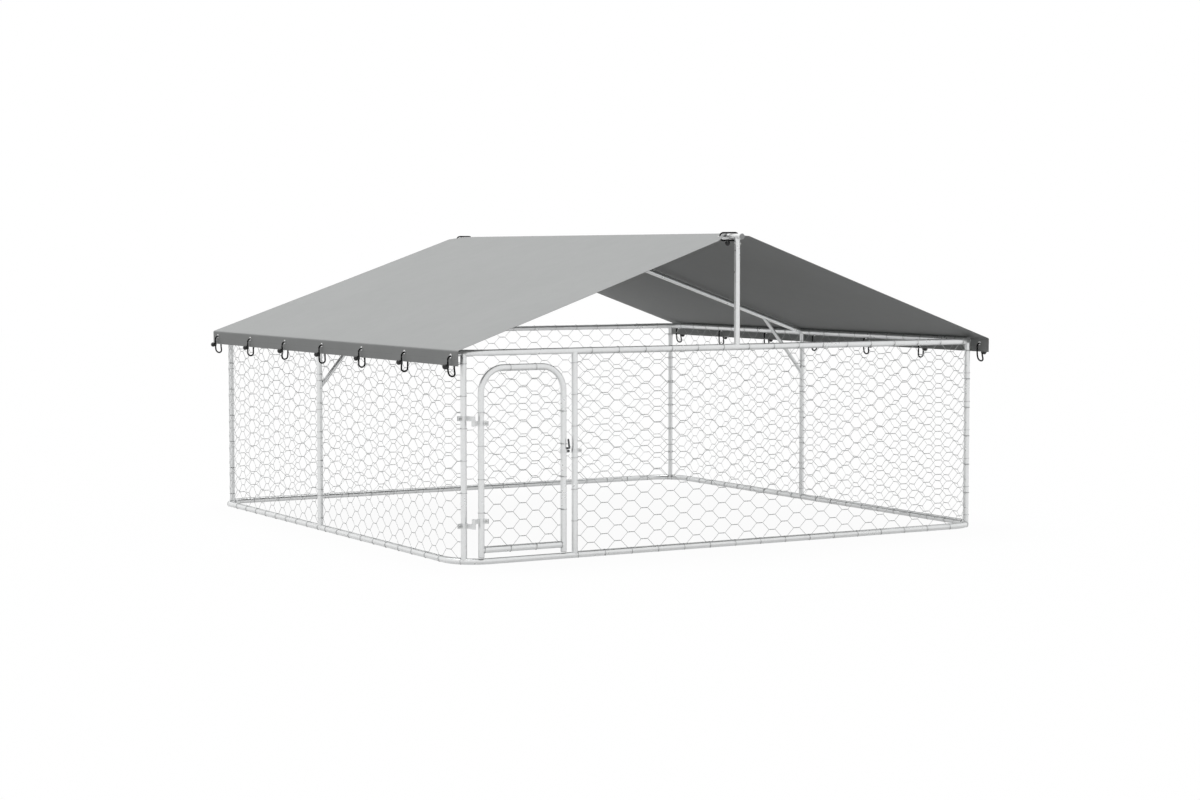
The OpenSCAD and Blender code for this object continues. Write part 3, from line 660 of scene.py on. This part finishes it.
# distances from the ridge where the sheet has a line of points, closer where it bends
def sheetStops():
    start = ridgeArc - ridgeTangent
    notch = [start + x / math.cos(slope) for x in (tubeR, canopyCut["notchFar"], canopyCut["notchNear"])]
    marks = [0.0, ridgeArc] + notch + [ridgeArc + slopeRun, sheetReach - edgeRun, sheetReach]
    stops = []
    for a, b, steps in zip(marks, marks[1:], canopyCut["steps"]):
        stops += [a + (b - a) * k / steps for k in range(steps)]
    return stops + [sheetReach]


# the sheet's end is notched over the ridge, and drawn in on the side where the bungee pulls
def sheetEnd(x, near):
    wide = canopyCut["notchNear"] if near else canopyCut["notchFar"]
    shoulder = canopyHigh.y - (canopyCut["drawIn"] if near else 0)
    if x < wide:
        return ridgeEnd + (shoulder - ridgeEnd) * max(0.0, x - tubeR) / (wide - tubeR)
    return shoulder + (canopyHigh.y - shoulder) * min(1.0, (x - wide) / (sheetHalf - wide))


# how far the cloth leaves its true line: it sags between its supports and waves between eyelets
def sheetEase(reach, y):
    down = (reach - ridgeArc) / slopeRun
    if down < 1:
        end = canopyHigh.y
        panel = (y + end) / (midPostY + end) if y < midPostY else (end - y) / (end - midPostY)
        least = canopyCut["endSag"]
        along = least + (1 - least) * math.sin(math.pi * min(1.0, max(0.0, panel)))
        return -canopyCut["sag"] * math.sin(math.pi * max(0.0, down)) * along
    hang = max(0.0, (reach - ridgeArc - slopeRun - foldArc) / edgeRun)
    between = (1 - math.cos(2 * math.pi * y / canopyCut["pitch"])) / 2
    return -canopyCut["wave"] * hang * between


# the sheet's area laid flat: each half has one near end and one far end
def sheetArea():
    stops = sheetStops()
    runs = [sum(sheetEnd(sheetSection(reach)[0][0], near) for near in (True, False)) for reach in stops]
    return sum((stops[k + 1] - stops[k]) * (runs[k] + runs[k + 1]) for k in range(len(stops) - 1))


# where the eyelets sit, and the way the sheet faces there
def eyeletPlaces():
    places = []
    for side in (-1, 1):
        for k in range(canopyCut["perSide"]):
            y = (k - canopyCut["perSide"] // 2) * canopyCut["pitch"]
            places.append((Vector((side * sheetHalf, y, canopyLow.z + canopyCut["eyeletUp"])), math.pi / 2))
    for way in (-1, 1):
        height = Vector((0, 0, sheetApex - ridgeEyelet.x * math.tan(slope)))
        places.append((way * ridgeEyelet + height, way * slope))
    return places


def punchEyelets(sheet):
    punches = []
    for place, turn in eyeletPlaces():
        bpy.ops.object.select_all(action="DESELECT")
        bpy.ops.mesh.primitive_cylinder_add(
            vertices=canopyCut["punchSides"], radius=canopyCut["punchR"], depth=canopyCut["punchDepth"],
            location=place, rotation=(0, turn, 0))
        punches.append(bpy.context.object)
    punch = joinAs("eyeletPunch", punches)
    cut = sheet.modifiers.new("eyelets", "BOOLEAN")
    cut.operation = "DIFFERENCE"
    cut.object = punch
    applyModifiers(sheet)
    throwAway(punch)


def makeCanopy():
    stops = sheetStops()
    half = len(stops) - 1
    bpy.ops.object.select_all(action="DESELECT")
    bpy.ops.mesh.primitive_grid_add(x_subdivisions=2 * half, y_subdivisions=canopyCut["alongSteps"], size=2)
    sheet = bpy.context.object
    sheet.name = "canopySheet"
    flat = []
    hems = sheet.vertex_groups.new(name="hem")
    for corner in sheet.data.vertices:
        step = round((corner.co.x + 1) * half) - half
        share = corner.co.y
        reach = stops[abs(step)]
        (x, z), turn = sheetSection(reach)
        side = math.copysign(1, step)
        end = sheetEnd(x, side * share > 0)
        y = share * end
        ease = sheetEase(reach, y)
        corner.co = (side * (x + ease * math.sin(turn)), y, z + ease * math.cos(turn))
        flat.append((side * reach, y, sheetReach - reach, end - abs(y)))
        inHem = min(sheetReach - reach, end - abs(y)) < sheetLook["hem"]
        hems.add([corner.index], 1.0 if inHem else canopyCut["plain"], "REPLACE")
    lay = sheet.data.uv_layers[0]
    lay.name = "sheet"
    edges = sheet.data.uv_layers.new(name="edges")
    for loop in sheet.data.loops:
        across, along, sideEdge, endEdge = flat[loop.vertex_index]
        lay.data[loop.index].uv = (across, along)
        edges.data[loop.index].uv = (sideEdge, endEdge)
    wall = sheet.modifiers.new("wall", "SOLIDIFY")
    wall.thickness = canopyCut["thick"]
    wall.offset = 0
    wall.vertex_group = "hem"
    applyModifiers(sheet)
    punchEyelets(sheet)
    onlySelect(sheet)
    bpy.ops.object.shade_smooth_by_angle(angle=math.radians(canopyCut["crease"]))
    return sheet


canopySheet = makeCanopy()
wearFinish(canopySheet, sheetCloth)
flatArea = sheetArea()
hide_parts("canopy")
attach(canopySheet, "run")
2 * sheetReach
print("canopy", len(canopySheet.data.polygons), "faces, flat area", round(flatArea, 3))


# ball bungees: an elastic loop through every eyelet, with both ends in its ball
bungeeCut = {"cord": 0.008, "sides": 12, "r": 0.016, "straight": 0.058, "drop": 0.046, "inBall": 0.004,
             "perBend": 12, "perRun": (4, 6, 3), "lean": 0.006, "leanTurn": 2.3, "cornerLean": -0.014,
             "ridgeTurn": 52, "ridgeDrop": 0.040, "ridgeBack": 0.0005, "rest": 0.0003}


# the loop's line as steps out from its plane's middle and down from its top, starting below the ball's collar
def loopSteps(r, straight, drop):
    low = r + straight
    gap = bungeeCut["inBall"]
    turns = [math.pi * k / bungeeCut["perBend"] for k in range(bungeeCut["perBend"] + 1)]
    fromBall, upBack, toBall = bungeeCut["perRun"]
    steps = [(r, drop + gap + (low - drop - gap) * k / fromBall) for k in range(fromBall)]
    steps += [(r * math.cos(turn), low + r * math.sin(turn)) for turn in turns]
    steps += [(-r, low - straight * k / upBack) for k in range(1, upBack)]
    steps += [(-r * math.cos(turn), r - r * math.sin(turn)) for turn in turns]
    steps += [(r, r + (drop - gap - r) * k / toBall) for k in range(1, toBall + 1)]
    return steps


# out is the way to the ball, down the way that the loop hangs, and sway where its free end swings to
def makeBungee(name, top, out, down, r, straight, drop, sway):
    points = []
    for away, fall in loopSteps(r, straight, drop):
        swing = max(0.0, (fall - drop) / (2 * r + straight - drop)) ** 2
        points.append(top + out * away + down * fall + sway * swing)
    cord = tubeAlong(name, points, bungeeCut["cord"] / 2, bungeeCut["sides"])
    wearFinish(cord, cordBraid)
    length = sum((b - a).length for a, b in zip(points, points[1:]))
    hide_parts("bungee_loops")
    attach(cord, "run")
    return length


def makeSideBungees():
    lengths = []
    last = canopyCut["perSide"] // 2
    r = bungeeCut["r"]
    straight = bungeeCut["straight"]
    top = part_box("bungee_loops")[0].z + 2 * r + straight + bungeeCut["cord"] / 2
    for sideName, way in (("Left", -1), ("Right", 1)):
        for k in range(-last, last + 1):
            lean = bungeeCut["lean"] * math.sin(bungeeCut["leanTurn"] * k + way)
            if abs(k) == last:
                lean = bungeeCut["cornerLean"]
            spot = Vector((way * sheetHalf, k * canopyCut["pitch"], top))
            lengths.append(makeBungee(
                f"bungee{sideName}{k + last + 1}", spot, Vector((way, 0, 0)), Vector((0, 0, -1)), r, straight,
                bungeeCut["drop"], Vector((0, lean, 0))))
    return lengths


# the two at the ridge run level, over and under the ridge tube, with the ball on the lower strand
def makeRidgeBungees():
    lengths = []
    turn = math.radians(bungeeCut["ridgeTurn"])
    r = tubeR + bungeeCut["rest"] + bungeeCut["cord"] / 2
    back = bungeeCut["ridgeBack"]
    straight = (canopyCut["ridgeX"] + r) / math.cos(turn) - 2 * r + back
    ridge = Vector((0, 0, middle("ridge_tube").z))
    for endName, way in (("Front", -1), ("Back", 1)):
        over = way * Vector((-math.cos(turn), math.sin(turn), 0))
        spot = way * ridgeEyelet + ridge - over * back
        lengths.append(makeBungee(
            f"bungee{endName}", spot, Vector((0, 0, -1)), over, r, straight, bungeeCut["ridgeDrop"],
            Vector((0, 0, 0))))
    return lengths


sideLengths = makeSideBungees()
ridgeLengths = makeRidgeBungees()
print("bungees", len(sideLengths), "of about", round(sideLengths[1], 4), "m and", len(ridgeLengths), "of",
      round(ridgeLengths[0], 4), "m")


# plain studio: white all round, soft light from above
studio = {"white": (1, 1, 1, 1), "floor": 60.0, "floorRough": 0.9, "floorWhite": 0.955, "floorGloss": 0.5,
          "floorSeen": (0.95, 0.95, 0.95), "floorBounce": (0.28, 0.28, 0.28), "sky": 0.42,
          "sun": 1.9, "sunPlace": (0, 0, 6), "sunTurn": (-0.2, 0.0, 0.0), "sunSoft": 0.7}


# the floor looks white, by itself and in metal, but throws less light up than it shows
def makeFloor():
    bpy.ops.object.select_all(action="DESELECT")
    bpy.ops.mesh.primitive_plane_add(size=studio["floor"], location=(0, 0, 0))
    floor = bpy.context.object
    floor.name = "floor"
    paint = Paint("paleFloor", Roughness=studio["floorRough"])
    seen = paint.ray("Camera")
    mirrored = paint.ray("Glossy") + paint.ray("Transmission")
    paint.wear(colour=paint.colours(studio["floorBounce"], studio["floorSeen"], seen + mirrored))
    plain = Value(paint, paint.shader.outputs[0])
    glow = paint.node("Emission", None, {"Color": studio["white"], "Strength": 1.0})
    share = seen * studio["floorWhite"] + mirrored * studio["floorGloss"]
    mixed = paint.node("MixShader", None, {0: share, 1: plain, 2: glow})
    paint.feed(paint.tree.nodes["Material Output"].inputs["Surface"], mixed)
    wearFinish(floor, paint.material)


# the sky shows white too, and lights the run at a lower level
def makeSky():
    world = bpy.data.worlds.new("studioSky")
    bpy.context.scene.world = world
    world.use_nodes = True
    sky = Shading(world.node_tree)
    shown = sky.ray("Camera") + sky.ray("Glossy") + sky.ray("Transmission")
    level = sky.node("MapRange", None, {"Value": shown, "To Min": studio["sky"], "To Max": 1.0})
    background = sky.tree.nodes["Background"]
    sky.feed(background.inputs["Color"], studio["white"])
    sky.feed(background.inputs["Strength"], level)


def makeSun():
    bpy.ops.object.light_add(type="SUN", location=studio["sunPlace"], rotation=studio["sunTurn"])
    sun = bpy.context.object
    sun.name = "softSun"
    sun.data.energy = studio["sun"]
    sun.data.angle = studio["sunSoft"]


makeFloor()
makeSky()
makeSun()

# the camera stands at the photograph's viewing angle
cameraSet = {"place": (-6.0924, -10.7097, 1.4014), "turn": (math.pi / 2 - 0.0633, 0.0, -0.5244),
             "lens": 69.19, "sensor": 36.0}
bpy.ops.object.camera_add(location=cameraSet["place"], rotation=cameraSet["turn"])
camera = bpy.context.object
camera.data.lens = cameraSet["lens"]
camera.data.sensor_width = cameraSet["sensor"]
bpy.context.scene.camera = camera
bpy.context.scene.view_settings.view_transform = "Standard"
print("studio and camera set")
